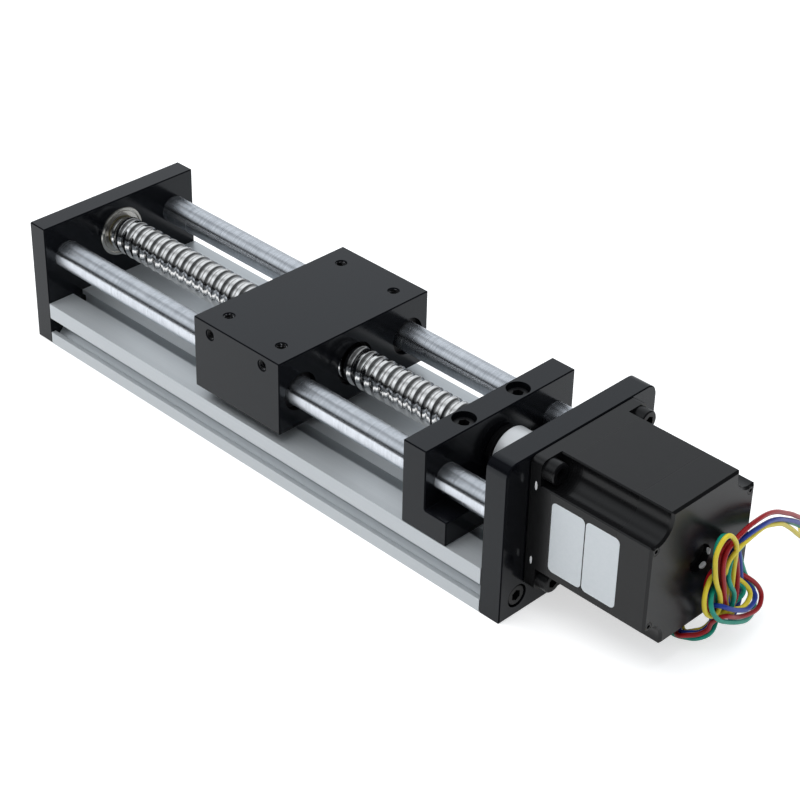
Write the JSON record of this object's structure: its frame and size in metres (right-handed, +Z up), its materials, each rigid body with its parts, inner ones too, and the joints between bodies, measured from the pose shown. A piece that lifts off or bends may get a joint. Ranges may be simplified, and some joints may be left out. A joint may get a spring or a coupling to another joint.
{
  "type": "ball screw linear module",
  "caption": "Motorised linear stage: a ball screw turned by a stepping motor drives a carriage along two round guide shafts above an extruded base.",
  "frame": {"origin": "middle of the standing face: half way between the idle end plate's outer face and the motor's rear face, in the middle of the width, on the surface it stands on", "axes": "+X along the screw from the idle end to the motor, +Z up, +Y away from the side with the labels"},
  "size_m": [0.3381, 0.145, 0.068],
  "materials": {
    "black_anodised_aluminium": "satin black anodised",
    "clear_anodised_aluminium": "satin clear anodised extrusion",
    "hard_chromed_shaft": "ground and hard chromed",
    "ground_screw_steel": "rolled and polished",
    "bearing_steel": "ground",
    "black_oxide_steel": "black oxide",
    "turned_aluminium": "turned, clear anodised",
    "cast_bell_black": "black paint on cast aluminium",
    "lamination_black": "black paint on laminated steel",
    "winding_copper": "enamelled copper",
    "wiper_plastic": "moulded",
    "cage_plastic": "moulded",
    "label_film": "printed film, bare",
    "grommet_rubber": "moulded",
    "insulation_yellow": "extruded wire insulation",
    "insulation_green": "extruded wire insulation",
    "insulation_blue": "extruded wire insulation",
    "insulation_red": "extruded wire insulation"
  },
  "bodies": {
    "frame": {"base_profile": "clear_anodised_aluminium", "idle_end_plate": "black_anodised_aluminium", "motor_plate": "black_anodised_aluminium", "guide_shaft_front": "hard_chromed_shaft", "guide_shaft_rear": "hard_chromed_shaft", "bearing_block": "black_anodised_aluminium", "bearing_block_screws": "black_oxide_steel", "idle_plate_screws": "black_oxide_steel", "motor_plate_screws": "black_oxide_steel", "shaft_end_screws": "black_oxide_steel", "idle_bearing_outer_ring": "bearing_steel", "idle_bearing_ball_cage": "cage_plastic", "fixed_bearing_outer_ring": "bearing_steel", "fixed_bearing_ball_cage": "cage_plastic", "bearing_circlip": "bearing_steel", "motor_front_bell": "cast_bell_black", "motor_stator": "lamination_black", "motor_rear_bell": "cast_bell_black", "motor_front_bearing": "bearing_steel", "motor_rear_bearing": "bearing_steel", "motor_winding_front": "winding_copper", "motor_winding_rear": "winding_copper", "motor_mounting_screws": "black_oxide_steel", "motor_tie_screws": "black_oxide_steel", "sticker_left": "label_film", "sticker_right": "label_film", "lead_grommet": "grommet_rubber", "lead_knot": "insulation_red", "lead_yellow_root": "insulation_yellow", "lead_yellow_tail": "insulation_yellow", "lead_green_root": "insulation_green", "lead_green_tail": "insulation_green", "lead_blue_root": "insulation_blue", "lead_blue_tail": "insulation_blue", "lead_red_root": "insulation_red", "lead_red_tail": "insulation_red"},
    "drive_line": {"ball_screw": "ground_screw_steel", "idle_bearing_inner_ring": "bearing_steel", "fixed_bearing_inner_ring": "bearing_steel", "journal_circlip": "bearing_steel", "spacer_sleeve": "ground_screw_steel", "lock_nut": "black_oxide_steel", "coupling": "turned_aluminium", "coupling_set_screws": "black_oxide_steel", "motor_shaft": "ground_screw_steel", "motor_rotor": "lamination_black"},
    "carriage": {"carriage_block": "black_anodised_aluminium", "front_bush_idle_end": "bearing_steel", "front_bush_motor_end": "bearing_steel", "rear_bush_idle_end": "bearing_steel", "rear_bush_motor_end": "bearing_steel", "ball_nut": "ground_screw_steel", "nut_wiper_idle_end": "wiper_plastic", "nut_wiper_motor_end": "wiper_plastic", "nut_retainer": "black_anodised_aluminium", "nut_retainer_screws": "black_oxide_steel"}
  },
  "joints": [
    {"name": "screw_spin", "type": "hinge", "parent": "frame", "child": "drive_line", "pos_m": [0, 0, 0.0395], "axis": [1, 0, 0], "range_deg": [-4321, 6481]},
    {"name": "carriage_slide", "type": "slide", "parent": "frame", "child": "carriage", "axis": [1, 0, 0], "range_m": [-0.09, 0.06]}
  ],
  "couplings": [
    {"joint": "screw_spin", "follows": "carriage_slide", "rad_per_m": -1256.6}
  ]
}
